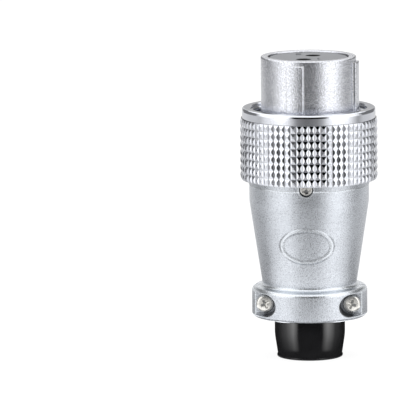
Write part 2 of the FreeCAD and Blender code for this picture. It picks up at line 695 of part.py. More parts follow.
def cable_grommet():
    """The rubber bush: flange inside the shell, waist in the clamp, and the end that shows below."""
    flange_top = SHELL_FLOOR_Z + GROMMET_FLANGE_THICKNESS
    shoulder_z = COLLAR_FOOT_Z - SADDLE_CLEARANCE
    lip_r = GROMMET_NECK_R - GROMMET_DRAW_IN
    return turned([
        (CABLE_R, 0),
        (lip_r, 0, GROMMET_LIP_ROUND),
        (lip_r, GROMMET_LIP_HEIGHT, GROMMET_LIP_ROUND),
        (lip_r - GROMMET_LIP_STEP, GROMMET_LIP_HEIGHT),
        (GROMMET_NECK_R + GROMMET_BULGE, GROMMET_BULGE_Z, GROMMET_BULGE_ROUND),
        (GROMMET_NECK_R + GROMMET_BULGE, shoulder_z, GROMMET_SHOULDER_ROUND),
        (GROMMET_NECK_R, shoulder_z),
        (GROMMET_NECK_R, SHELL_FLOOR_Z),
        (GROMMET_FLANGE_R, SHELL_FLOOR_Z),
        (GROMMET_FLANGE_R, flange_top),
        (CABLE_R, flange_top),
    ])


def grommet_washer():
    """The stiff ring on top of the grommet's flange."""
    low = SHELL_FLOOR_Z + GROMMET_FLANGE_THICKNESS
    return sleeve(CABLE_R + GROMMET_WASHER_ROOM, GROMMET_FLANGE_R, low, low + GROMMET_WASHER_THICKNESS)


def main():
    os.makedirs("parts", exist_ok=True)
    pieces = {
        "front_barrel": front_barrel(),
        "insert_front": insert_front(),
        "insert_rear": insert_rear(),
        "insert_snap_ring": insert_snap_ring(),
        "face_gasket": face_gasket(),
        "slip_washer": slip_washer(),
        "shell_seal_ring": shell_seal_ring(),
        "coupling_ring": coupling_ring(),
        "rear_shell": rear_shell(),
        "lock_screw": lock_screw(),
        "clamp_saddle": clamp_saddle(),
        "clamp_screws": Part.makeCompound([clamp_screw(side) for side in (-1, 1)]),
        "screw_spring_washers": Part.makeCompound([spring_washer(side) for side in (-1, 1)]),
        "cable_grommet": cable_grommet(),
        "grommet_washer": grommet_washer(),
    }
    for number, angle in enumerate(CONTACT_ANGLES, 1):
        pieces[f"contact_{number}"] = contact(angle)
        pieces[f"contact_spring_{number}"] = contact_spring(angle)
    for name, shape in pieces.items():
        print(name, "solids", len(shape.Solids), "faces", len(shape.Faces), "valid", shape.isValid())
        shape.exportStep(f"parts/{name}.step")


main()
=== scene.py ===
"""Finishes, fine detail, light and camera for a two-contact circular cable plug."""

import math

import bmesh
import bpy
from mathutils import Matrix, Vector


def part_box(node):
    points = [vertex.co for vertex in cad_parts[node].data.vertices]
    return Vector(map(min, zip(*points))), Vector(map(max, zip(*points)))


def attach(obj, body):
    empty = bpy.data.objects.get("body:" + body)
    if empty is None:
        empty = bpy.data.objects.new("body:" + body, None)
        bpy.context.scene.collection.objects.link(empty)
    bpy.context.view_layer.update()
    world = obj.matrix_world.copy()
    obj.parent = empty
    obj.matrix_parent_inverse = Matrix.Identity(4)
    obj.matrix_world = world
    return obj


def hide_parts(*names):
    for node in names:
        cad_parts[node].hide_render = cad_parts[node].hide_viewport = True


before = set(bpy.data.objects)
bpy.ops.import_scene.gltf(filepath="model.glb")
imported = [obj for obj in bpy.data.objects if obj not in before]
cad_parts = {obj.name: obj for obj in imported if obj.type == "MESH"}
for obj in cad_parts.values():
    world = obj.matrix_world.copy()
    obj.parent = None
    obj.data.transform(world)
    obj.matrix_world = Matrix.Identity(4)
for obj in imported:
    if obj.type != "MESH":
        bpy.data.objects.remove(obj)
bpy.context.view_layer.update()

bl_info = {
    "name": "Cable plug looks",
    "version": (1, 0, 0),
    "blender": (4, 5, 0),
    "location": "View3D > Sidebar > Cable plug",
    "description": "Dresses a circular cable plug and sets up its studio",
    "category": "Object",
}

MM = 0.001

# Places on the castings, as they are cut
LEDGE_DROP = 1.4 * MM  # from the ring's foot down to the ledge of the shell's turned land
POCKET_FLOOR = 5.4 * MM  # from the axis forwards to the floors under the clamp screws' heads
POCKET_ROOM = 0.6 * MM  # from a clamp screw's head to the round wall beside it

# Shares of a metal's own colour in its painted shade, and where it is worn and a highlight is
# painted
PAINTED_SHADE_SHARE = 0.3
WORN_AND_LIT_SHARE = 1.22
# How far from its middle a worn line with a painted highlight is still bright, and where it ends
WORN_AND_LIT_LINE = (0.06 * MM, 0.18 * MM)

# The camera's sensor in millimetres, and the lamps' distance from the plug in metres
SENSOR_WIDTH = 36.0
LAMP_DISTANCE = 1.1
WHITE = (1.0, 1.0, 1.0)

# Brightness of what the metal mirrors, at each turn in degrees from the camera's side
FRONT_GLOW = (
    (-180.0, 0.9),
    (-168.0, 0.9),
    (-156.0, 0.5),
    (-136.0, 0.5),
    (-117.0, 0.42),
    (-102.0, 0.42),
    (-89.0, 0.58),
    (-78.0, 0.8),
    (-67.0, 0.98),
    (-57.0, 1.2),
    (-48.0, 1.35),
    (-39.0, 1.15),
    (-30.0, 0.68),
    (-21.0, 0.43),
    (-12.0, 0.35),
    (-4.0, 0.31),
    (4.0, 0.34),
    (13.0, 0.4),
    (21.0, 0.56),
    (30.0, 0.82),
    (39.0, 1.2),
    (48.0, 1.4),
    (57.0, 1.35),
    (67.0, 1.1),
    (78.0, 0.72),
    (89.0, 0.4),
    (102.0, 0.43),
    (117.0, 0.46),
    (136.0, 0.54),
    (156.0, 0.5),
    (168.0, 0.9),
    (180.0, 0.9),
)
# What the nose mirrors
UPPER_GLOW = (
    (-180.0, 0.9),
    (-168.0, 0.9),
    (-160.0, 0.2),
    (-102.0, 0.16),
    (-93.0, 1.4),
    (-38.0, 1.6),
    (-27.0, 0.0),
    (27.0, 0.0),
    (38.0, 1.6),
    (92.0, 1.4),
    (101.0, 0.16),
    (160.0, 0.2),
    (168.0, 0.9),
    (180.0, 0.9),
)
# What the clamp, the cone, the knurl and the band mirror, worked out from the front's
SIDE_GLOW = tuple(
    (turn, level + (0.2 if 95.0 < abs(turn) < 160.0 else 0.0)) for turn, level in FRONT_GLOW
)
BAND_GLOW = tuple(
    (turn, level - 0.13 if abs(turn) < 22.0 else min(level, 0.86 if turn < 0.0 else 0.98))
    for turn, level in SIDE_GLOW
)
BOLD_GLOW = tuple(
    (turn, level + max(0.0, level - 0.6) - (0.15 if abs(turn) < 22.0 else 0.0))
    for turn, level in SIDE_GLOW
)
SHELL_GLOW = tuple(
    (turn, 0.22 + 0.95 * level - (0.07 if turn < -95.0 else 0.0)) for turn, level in FRONT_GLOW
)
PALE_GLOW = tuple((turn, 0.45 + 0.78 * level) for turn, level in FRONT_GLOW)
KNURL_GLOW = tuple(
    (turn, 0.42 if abs(turn) > 145.0 else 0.16 * level if level < 0.67 else min(level, 1.4))
    for turn, level in BOLD_GLOW
)
# What the slope above the band mirrors
BRIM_GLOW = (
    (-180.0, 0.45),
    (-158.0, 0.55),
    (-150.0, 0.2),
    (-102.0, 0.2),
    (-92.0, 0.8),
    (-70.0, 1.4),
    (-38.0, 1.4),
    (-25.0, 0.2),
    (25.0, 0.2),
    (38.0, 1.4),
    (70.0, 1.4),
    (92.0, 0.8),
    (102.0, 0.2),
    (150.0, 0.2),
    (158.0, 0.55),
    (180.0, 0.45),
)
# The ground and the ceiling, which ledges and leaning faces mirror
TABLE_GLOW = tuple(
    (turn, 0.65 + 0.44 * level if abs(turn) < 95.0 else 0.35) for turn, level in FRONT_GLOW
)
UNDER_GLOW = tuple((turn, 0.2 if abs(turn) < 27.0 else level) for turn, level in TABLE_GLOW)
FOOT_GLOW = ((-180.0, 0.35), (180.0, 0.35))
LEDGE_GLOW = ((-180.0, 1.5), (180.0, 1.5))
TOP_GLOW = ((-180.0, 1.3), (180.0, 1.3))
# What the grommet's rubber mirrors
GROMMET_GLOW = (
    (-180.0, 0.05),
    (-90.0, 0.05),
    (-76.0, 0.25),
    (-58.0, 1.0),
    (-46.0, 2.6),
    (-38.0, 4.4),
    (-30.0, 2.0),
    (-26.0, 0.0),
    (26.0, 0.0),
    (31.0, 2.2),
    (39.0, 4.4),
    (50.0, 2.4),
    (60.0, 0.5),
    (76.0, 0.2),
    (90.0, 0.05),
    (180.0, 0.05),
)
DIM_GROMMET_GLOW = tuple((turn, 0.24 * level) for turn, level in GROMMET_GLOW)
DARK_GLOW = ((-180.0, 0.02), (180.0, 0.02))
# Radius and height of each ring of the mirrored walls, in metres, with its brightness
TENT_LEVELS = (
    (0.018, 0.0003, FOOT_GLOW),
    (0.028, 0.0003, FOOT_GLOW),
    (0.031, 0.0003, LEDGE_GLOW),
    (0.045, 0.0003, LEDGE_GLOW),
    (0.049, 0.0003, TABLE_GLOW),
    (0.065, 0.0003, TABLE_GLOW),
    (0.067, 0.0003, UNDER_GLOW),
    (0.083, 0.0003, UNDER_GLOW),
    (0.088, 0.0003, SHELL_GLOW),
    (0.15, 0.0003, SHELL_GLOW),
    (0.15, 0.011, PALE_GLOW),
    (0.15, 0.0215, PALE_GLOW),
    (0.15, 0.0225, KNURL_GLOW),
    (0.15, 0.0335, KNURL_GLOW),
    (0.15, 0.0355, BAND_GLOW),
    (0.15, 0.0395, BAND_GLOW),
    (0.15, 0.0425, BOLD_GLOW),
    (0.15, 0.055, BOLD_GLOW),
    (0.15, 0.061, BRIM_GLOW),
    (0.15, 0.09, BRIM_GLOW),
    (0.15, 0.096, UPPER_GLOW),
    (0.15, 0.145, UPPER_GLOW),
    (0.15, 0.155, TOP_GLOW),
    (0.15, 0.36, TOP_GLOW),
    (0.005, 0.42, TOP_GLOW),
)
# The same for the low wall close round the grommet
LOW_TENT_LEVELS = (
    (0.0082, 0.0002, DARK_GLOW),
    (0.0115, 0.0002, DARK_GLOW),
    (0.012, 0.0004, DIM_GROMMET_GLOW),
    (0.012, 0.0095, GROMMET_GLOW),
)

# Numerals that mark the two contacts, as a line through points, ten units tall
ONE_LINE = ((-2.0, 7.5), (0.0, 10.0), (0.0, 0.0))
TWO_LINE = (
    (-3.0, 7.0),
    (-2.4, 9.0),
    (-0.6, 10.0),
    (1.4, 9.6),
    (2.6, 8.0),
    (2.2, 5.8),
    (0.0, 3.2),
    (-3.0, 0.0),
    (3.0, 0.0),
)


class Value:
    """A node's output, on which Python's operators add Math nodes."""

    def __init__(self, wiring, socket):
        self.wiring = wiring
        self.socket = socket

    def math(self, operation, *terms):
        return self.wiring.add("ShaderNodeMath", {"operation": operation}, terms)

    def __add__(self, other):
        return self.math("ADD", self, other)

    def __radd__(self, other):
        return self.math("ADD", other, self)

    def __sub__(self, other):
        return self.math("SUBTRACT", self, other)

    def __rsub__(self, other):
        return self.math("SUBTRACT", other, self)

    def __mul__(self, other):
        return self.math("MULTIPLY", self, other)

    def __rmul__(self, other):
        return self.math("MULTIPLY", other, self)

    def __truediv__(self, other):
        return self.math("DIVIDE", self, other)

    def __rtruediv__(self, other):
        return self.math("DIVIDE", other, self)

    def __abs__(self):
        return self.math("ABSOLUTE", self)

    def root(self):
        return self.math("SQRT", self)

    def at_least(self, other):
        return self.math("MAXIMUM", self, other)

    def clamped(self):
        return self.math("MINIMUM", self.at_least(0.0), 1.0)

    def ramp(self, none, full):
        """0 up to the first value, and 1 from the second on, which may be the lower one."""
        return ((self - none) / (full - none)).clamped()

    def near(self, full, none):
        """1 while it is that close to zero, and 0 once it is that far from it."""
        return abs(self).ramp(none, full)


class Wiring:
    """A node tree, to which one method adds every node."""

    def __init__(self, tree):
        self.tree = tree
        self.tree.nodes.clear()

    def node(self, kind, settings=None, sockets=()):
        """Adds a node: its settings first, then the values and links of its sockets."""
        node = self.tree.nodes.new(kind)
        for name, setting in (settings or {}).items():
            if name == "stops":
                self.set_stops(node.color_ramp.elements, setting)
            else:
                setattr(node, name, setting)
        named = sockets.items() if isinstance(sockets, dict) else enumerate(sockets)
        for key, value in named:
            self.feed(node.inputs[key], value)
        return node

    def add(self, kind, settings=None, sockets=(), output=0):
        """Adds a node and gives one of its outputs."""
        return Value(self, self.node(kind, settings, sockets).outputs[output])

    def set_stops(self, elements, stops):
        while len(elements) < len(stops):
            elements.new(1.0)
        for element, (place, grey) in zip(elements, stops):
            element.position = place
            element.color = (grey, grey, grey, 1.0)

    def feed(self, socket, value):
        if isinstance(value, Value):
            self.tree.links.new(value.socket, socket)
        elif socket.type == "RGBA" and len(value) == 3:
            socket.default_value = (*value, 1.0)
        else:
            socket.default_value = value

    def ray(self, kind):
        """1 where a ray of that kind looks, and 0 for the others."""
        return self.add("ShaderNodeLightPath", output="Is " + kind + " Ray")


class Finish(Wiring):
    """A material, its main shader and the nodes that vary it over a surface."""

    def __init__(self, name, sockets):
        self.material = bpy.data.materials.new(name)
        self.material.use_nodes = True
        super().__init__(self.material.node_tree)
        self.surface = self.add("ShaderNodeBsdfPrincipled", {}, sockets)
        self.output = self.node("ShaderNodeOutputMaterial")
        self.show(self.surface)

    def show(self, surface):
        self.feed(self.output.inputs["Surface"], surface)

    def vary(self, socket, value):
        """Feeds one of the main shader's sockets."""
        self.feed(self.surface.socket.node.inputs[socket], value)

    def place(self):
        return self.add("ShaderNodeTexCoord", output="Object")

    def axes(self):
        """The place along X, Y and Z, in metres."""
        split = self.node("ShaderNodeSeparateXYZ", {}, (self.place(),))
        return [Value(self, socket) for socket in split.outputs]

    def height(self):
        """The height above the floor, in metres."""
        return self.axes()[2]

    def span(self):
        """The distance from the plug's axis, in metres."""
        x, y, _ = self.axes()
        return (x * x + y * y).root()

    def noise(self, size, detail=2.0, roughness=0.5):
        """Soft noise from 0 to 1 whose patches are about that size, in metres."""
        sockets = {
            "Vector": self.place(),
            "Scale": 1.0 / size,
            "Detail": detail,
            "Roughness": roughness,
        }
        return self.add("ShaderNodeTexNoise", {}, sockets)

    def band(self, value, stops):
        return self.add("ShaderNodeValToRGB", {"stops": stops}, {"Fac": value})

    def blend(self, mask, low, high):
        """One colour where the mask is 0 and the other where it is 1."""
        return self.add("ShaderNodeMix", {"data_type": "RGBA"}, {0: mask, 6: low, 7: high}, 2)

    def rounded(self, radius):
        """The way that the surface faces, with its edges rounded by that radius."""
        return self.add("ShaderNodeBevel", {"samples": 4}, {"Radius": radius})

    def bump(self, height, edge=0.0):
        """Lets a height in metres stand out, over edges that look rounded by that radius."""
        sockets = {"Height": height, "Distance": 1.0}
        if edge:
            sockets["Normal"] = self.rounded(edge)
        self.vary("Normal", self.add("ShaderNodeBump", {}, sockets))

    def edges(self, radius):
        """1 within that radius of a sharp edge, and 0 on open surfaces."""
        contrast = 14.0
        faced = self.add("ShaderNodeNewGeometry", output="Normal")
        ways = (self.rounded(radius), faced)
        alike = self.add("ShaderNodeVectorMath", {"operation": "DOT_PRODUCT"}, ways, "Value")
        return ((1.0 - alike) * contrast).clamped()


def dress(material, slot, *objects):
    """Gives objects a material. The slot is not used."""
    for item in objects:
        item.data.materials.clear()
        item.data.materials.append(material)


def nodes(*names):
    """The part's pieces of those names."""
    return [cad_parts[name] for name in names]


def shade(share, colour):
    """A darker or brighter colour, which nowhere goes above 1."""
    return tuple(min(1.0, share * part) for part in colour)


def metal(name, looks, grime=None, relief=None, wear_and_highlight=None):
    """A plated or bare metal whose grain catches the light in fine specks.

    The grime mask gives 0 where a darker colour paints shade, as in pockets, recesses and
    grooves, and 1 elsewhere. Relief gives the height of soft detail, in metres. The
    wear_and_highlight mask gives 1 where the metal is worn and a highlight is painted on it, and
    0 elsewhere."""
    colour = tuple(looks.colour)
    finish = Finish(name, {"Metallic": 1.0, "Base Color": colour})
    grain = finish.noise(looks.grain_size, 3.0, 0.65)
    cloud = finish.noise(looks.cloud_size)
    spread = looks.grain_spread / 2
    specks = finish.band(grain, [(0.5 - spread, 0.0), (0.5 + spread, 1.0)])
    patches = finish.band(cloud, [(0.3, 0.0), (0.7, 1.0)])
    tone = (patches * 0.15 + specks * 0.85).clamped()
    plated = finish.blend(tone, shade(looks.darkest, colour), colour)
    # Painted shade: a darker colour where shade falls in pockets, recesses and grooves
    if grime:
        plated = finish.blend(grime(finish), shade(PAINTED_SHADE_SHARE, colour), plated)
    rough = looks.roughness + looks.roughness_range * (specks * 0.7 + patches * 0.3 - 0.5)
    # Painted highlight on partly worn plating: a brighter, smoother colour along sharp edges and
    # worn lines
    if looks.edge_wear:
        worn = looks.edge_wear * finish.edges(looks.edge)
        if wear_and_highlight:
            worn = worn.at_least(wear_and_highlight(finish))
        plated = finish.blend(worn, plated, shade(WORN_AND_LIT_SHARE, colour))
        rough = rough * (1.0 - 0.5 * worn)
    finish.vary("Base Color", plated)
    finish.vary("Roughness", rough)
    height = grain * looks.grain_depth
    if relief:
        height = height + relief(finish)
    finish.bump(height, looks.edge)
    return finish


def put(name, data):
    """Puts a camera, a lamp or a mesh into the scene."""
    item = bpy.data.objects.new(name, data)
    bpy.context.scene.collection.objects.link(item)
    return item


def put_mesh(name, mesh):
    """Puts a bmesh into the scene and lets it go."""
    data = bpy.data.meshes.new(name)
    mesh.to_mesh(data)
    mesh.free()
    return put(name, data)


def mesh_object(name, mesh, body):
    """Puts a bmesh into the scene as a smooth object that rides on a body."""
    sharp = math.radians(35.0)
    bmesh.ops.recalc_face_normals(mesh, faces=mesh.faces)
    item = put_mesh(name, mesh)
    item.data.shade_smooth()
    item.data.set_sharp_from_angle(angle=sharp)
    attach(item, body)
    return item


def ease(value):
    """A smooth step from 0 to 1."""
    value = max(0.0, min(1.0, value))
    return value * value * (3.0 - 2.0 * value)


def between(table, place):
    """Reads a table of (place, value) rows, in straight lines between its rows."""
    for (low, before), (high, after) in zip(table, table[1:]):
        if place <= high:
            return before + (after - before) * (place - low) / (high - low)
    return table[-1][1]


def towards(turn, rise):
    """The way from the plug to a turn about its axis, from the front, and to a rise."""
    flat = math.cos(rise)
    return Vector((math.sin(turn) * flat, -math.cos(turn) * flat, math.sin(rise)))


def skin(mesh, rings):
    """Joins closed rings of points into a surface."""
    rows = [[mesh.verts.new(point) for point in ring] for ring in rings]
    for before, after in zip(rows, rows[1:]):
        for i in range(len(before)):
            j = (i + 1) % len(before)
            mesh.faces.new((before[i], before[j], after[j], after[i]))
    return rows


def rod(mesh, rings):
    """Joins closed rings of points and closes both ends."""
    rows = skin(mesh, rings)
    mesh.faces.new(rows[0])
    mesh.faces.new(rows[-1])


class MetalLooks(bpy.types.PropertyGroup):
    colour: bpy.props.FloatVectorProperty(
        name="Colour",
        description="Colour of the metal where it is brightest",
        subtype="COLOR",
        size=3,
        min=0.0,
        max=1.0,
        default=(0.8, 0.8, 0.8),
    )
    darkest: bpy.props.FloatProperty(
        name="Darkest share",
        description="Share of the colour that is left in the darkest specks and patches",
        subtype="FACTOR",
        min=0.0,
        max=1.0,
        default=0.85,
    )
    roughness: bpy.props.FloatProperty(
        name="Roughness",
        description="Mean roughness of the surface",
        subtype="FACTOR",
        min=0.0,
        max=1.0,
        default=0.3,
    )
    roughness_range: bpy.props.FloatProperty(
        name="Roughness range",
        description="How much the roughness varies over the surface",
        subtype="FACTOR",
        min=0.0,
        max=1.0,
        default=0.1,
    )
    grain_size: bpy.props.FloatProperty(
        name="Grain size",
        description="Size of one grain of the blasted surface",
        unit="LENGTH",
        min=0.00001,
        default=0.00022,
        precision=5,
    )
    grain_depth: bpy.props.FloatProperty(
        name="Grain depth",
        description="How far the grain stands out",
        unit="LENGTH",
        min=0.0,
        default=0.00002,
        precision=6,
    )
    grain_spread: bpy.props.FloatProperty(
        name="Grain spread",
        description="How gently dark grains turn into bright ones, less for harder specks",
        subtype="FACTOR",
        min=0.02,
        max=1.0,
        default=0.36,
    )
    cloud_size: bpy.props.FloatProperty(
        name="Cloud size",
        description="Size of the faint patches in the plating",
        unit="LENGTH",
        min=0.0001,
        default=0.004,
        precision=4,
    )
    edge: bpy.props.FloatProperty(
        name="Edge rounding",
        description="Radius by which the plating rounds sharp edges",
        unit="LENGTH",
        min=0.0,
        default=0.00012,
        precision=5,
    )
    # Brightens the colour along every sharp edge: a painted highlight on partly worn plating
    edge_wear: bpy.props.FloatProperty(
        name="Edge wear",
        description="How much brighter and smoother the plating is on worn edges",
        subtype="FACTOR",
        min=0.0,
        max=1.0,
        default=0.0,
    )


class PlasticLooks(bpy.types.PropertyGroup):
    colour: bpy.props.FloatVectorProperty(
        name="Colour",
        description="Colour of the moulding",
        subtype="COLOR",
        size=3,
        min=0.0,
        max=1.0,
        default=(0.3, 0.3, 0.3),
    )
    roughness: bpy.props.FloatProperty(
        name="Roughness",
        description="Mean roughness of the moulded surface",
        subtype="FACTOR",
        min=0.0,
        max=1.0,
        default=0.5,
    )
    grain_size: bpy.props.FloatProperty(
        name="Grain size",
        description="Size of one grain of the moulded surface",
        unit="LENGTH",
        min=0.00001,
        default=0.0003,
        precision=5,
    )
    grain_depth: bpy.props.FloatProperty(
        name="Grain depth",
        description="How far the grain stands out",
        unit="LENGTH",
        min=0.0,
        default=0.00001,
        precision=6,
    )


class ThreadSizes(bpy.types.PropertyGroup):
    bore: bpy.props.FloatProperty(
        name="Bore radius",
        description="Radius of the ring's bore that carries the thread",
        unit="LENGTH",
        default=0.014,
        precision=5,
    )
    depth: bpy.props.FloatProperty(
        name="Depth",
        description="How far the thread stands in from the bore",
        unit="LENGTH",
        default=0.00058,
        precision=5,
    )
    pitch: bpy.props.FloatProperty(
        name="Pitch",
        description="Height of one turn",
        unit="LENGTH",
        default=0.001,
        precision=5,
    )
    low: bpy.props.FloatProperty(
        name="Lowest point",
        description="Height at which the thread starts",
        unit="LENGTH",
        default=0.0502,
        precision=5,
    )
    high: bpy.props.FloatProperty(
        name="Highest point",
        description="Height at which the thread runs out",
        unit="LENGTH",
        default=0.0599,
        precision=5,
    )
    steps: bpy.props.IntProperty(
        name="Steps a turn",
        description="Number of short runs that make one turn",
        min=12,
        default=72,
    )


class ScrewSizes(bpy.types.PropertyGroup):
    head_height: bpy.props.FloatProperty(
        name="Head height",
        description="Thickness of a clamp screw's pan head",
        unit="LENGTH",
        default=0.0014,
        precision=5,
    )
    shank: bpy.props.FloatProperty(
        name="Shank radius",
        description="Radius over the screw's thread",
        unit="LENGTH",
        default=0.00099,
        precision=5,
    )
    pitch: bpy.props.FloatProperty(
        name="Pitch",
        description="Height of one turn of the screw's thread",
        unit="LENGTH",
        default=0.00045,
        precision=5,
    )
    recess: bpy.props.FloatProperty(
        name="Recess",
        description="Half the width of the cross in the head",
        unit="LENGTH",
        default=0.00108,
        precision=5,
    )
    arm: bpy.props.FloatProperty(
        name="Arm width",
        description="Half the width of one arm of the cross",
        unit="LENGTH",
        default=0.00026,
        precision=5,
    )
    depth: bpy.props.FloatProperty(
        name="Recess depth",
        description="Depth of the cross at its middle",
        unit="LENGTH",
        default=0.0008,
        precision=5,
    )
    turn: bpy.props.FloatProperty(
        name="Turn",
        description="How far the cross is turned from upright",
        subtype="ANGLE",
        default=math.radians(24.0),
    )


class OvalSizes(bpy.types.PropertyGroup):
    height: bpy.props.FloatProperty(
        name="Height",
        description="Height of the oval's middle on the cone",
        unit="LENGTH",
        default=0.0287,
        precision=4,
    )
    half_width: bpy.props.FloatProperty(
        name="Half width",
        description="Half the width of the oval, over its line",
        unit="LENGTH",
        default=0.0065,
        precision=4,
    )
    half_height: bpy.props.FloatProperty(
        name="Half height",
        description="Half the height of the oval, over its line",
        unit="LENGTH",
        default=0.0044,
        precision=4,
    )
    line: bpy.props.FloatProperty(
        name="Line width",
        description="Width of the oval's line",
        unit="LENGTH",
        default=0.0008,
        precision=4,
    )
    softness: bpy.props.FloatProperty(
        name="Softness",
        description="Width of the slopes on both sides of the line",
        unit="LENGTH",
        min=0.00001,
        default=0.0003,
        precision=5,
    )
    relief: bpy.props.FloatProperty(
        name="Relief",
        description="How far the line's soft slopes seem to rise",
        unit="LENGTH",
        default=0.00016,
        precision=5,
    )


class StudioSettings(bpy.types.PropertyGroup):
    azimuth: bpy.props.FloatProperty(
        name="Azimuth",
        description="Direction that the camera looks from, about the vertical",
        subtype="ANGLE",
        default=math.radians(4.0),
    )
    elevation: bpy.props.FloatProperty(
        name="Elevation",
        description="Height of the camera above the horizon",
        subtype="ANGLE",
        default=math.radians(9.0),
    )
    distance: bpy.props.FloatProperty(
        name="Distance",
        description="Distance from the camera to the plug's axis",
        unit="LENGTH",
        default=1.3,
    )
    frame_width: bpy.props.FloatProperty(
        name="Frame width",
        description="Width that the camera sees at the plug",
        unit="LENGTH",
        default=0.1005,
        precision=4,
    )
    aim_height: bpy.props.FloatProperty(
        name="Aim height",
        description="Height of the middle of the frame at the plug",
        unit="LENGTH",
        default=0.0363,
        precision=4,
    )
    aim_left: bpy.props.FloatProperty(
        name="Aim to the left",
        description="Distance from the plug's axis to the middle of the frame",
        unit="LENGTH",
        default=0.02445,
        precision=4,
    )
    room_light: bpy.props.FloatProperty(
        name="Room light",
        description="Strength of the even light that falls on the plug from all round",
        min=0.0,
        default=0.75,
    )
    roll: bpy.props.FloatProperty(
        name="Roll",
        description="How far the camera leans to one side",
        subtype="ANGLE",
        default=math.radians(-0.5),
    )


class Looks(bpy.types.PropertyGroup):
    nose: bpy.props.PointerProperty(
        type=MetalLooks, name="Nose", description="Plating of the keyed nose"
    )
    shell: bpy.props.PointerProperty(
        type=MetalLooks, name="Shell", description="Plating of the rear shell and clamp"
    )
    ring: bpy.props.PointerProperty(
        type=MetalLooks, name="Ring", description="Plating of the knurled ring"
    )
    screw: bpy.props.PointerProperty(
        type=MetalLooks, name="Screws", description="Nickel of the screws"
    )
    steel: bpy.props.PointerProperty(
        type=MetalLooks, name="Spring steel", description="Washers and spring parts"
    )
    contact: bpy.props.PointerProperty(
        type=MetalLooks, name="Contacts", description="Gilt of the contacts"
    )
    insulator: bpy.props.PointerProperty(
        type=PlasticLooks, name="Insulators", description="The two moulded insulators"
    )
    rubber: bpy.props.PointerProperty(
        type=PlasticLooks, name="Rubber", description="Grommet and seals"
    )
    oval: bpy.props.PointerProperty(
        type=OvalSizes, name="Oval", description="The oval line on the cone"
    )
    thread: bpy.props.PointerProperty(
        type=ThreadSizes, name="Thread", description="Thread inside the ring"
    )
    screw_sizes: bpy.props.PointerProperty(
        type=ScrewSizes, name="Screw sizes", description="Heads and threads of the screws"
    )
    studio: bpy.props.PointerProperty(
        type=StudioSettings, name="Studio", description="Camera, light and floor"
    )


def give(group, **values):
    for name, value in values.items():
        setattr(group, name, value)


def set_looks(looks):
    """Gives each finish of this plug its own colour and grain."""
    give(
        looks.nose,
        colour=(0.86, 0.875, 0.93),
        darkest=0.62,
        roughness=0.2,
        roughness_range=0.14,
        grain_size=0.0003,
        grain_depth=0.00006,
        grain_spread=0.24,
        edge=0.00017,
        edge_wear=0.9,
    )
    give(
        looks.shell,
        colour=(0.75, 0.785, 0.84),
        darkest=0.6,
        roughness=0.3,
        roughness_range=0.14,
        grain_size=0.00024,
        grain_depth=0.000035,
        grain_spread=0.22,
        edge=0.0002,
        edge_wear=0.9,
    )
    give(
        looks.ring,
        colour=(0.85, 0.87, 0.93),
        darkest=0.9,
        roughness=0.07,
        roughness_range=0.06,
        grain_depth=0.000005,
        edge=0.00008,
    )
    give(
        looks.screw,
        colour=(0.92, 0.905, 0.865),
        darkest=0.72,
        roughness=0.24,
        roughness_range=0.2,
        grain_size=0.0004,
        grain_depth=0.00001,
        cloud_size=0.0015,
    )
    give(looks.steel, colour=(0.6, 0.6, 0.62))
    give(looks.contact, colour=(0.83, 0.6, 0.27), roughness=0.22)
    give(looks.insulator, colour=(0.196, 0.2, 0.214), roughness=0.55)
    give(looks.rubber, colour=(0.011, 0.011, 0.012), roughness=0.16)


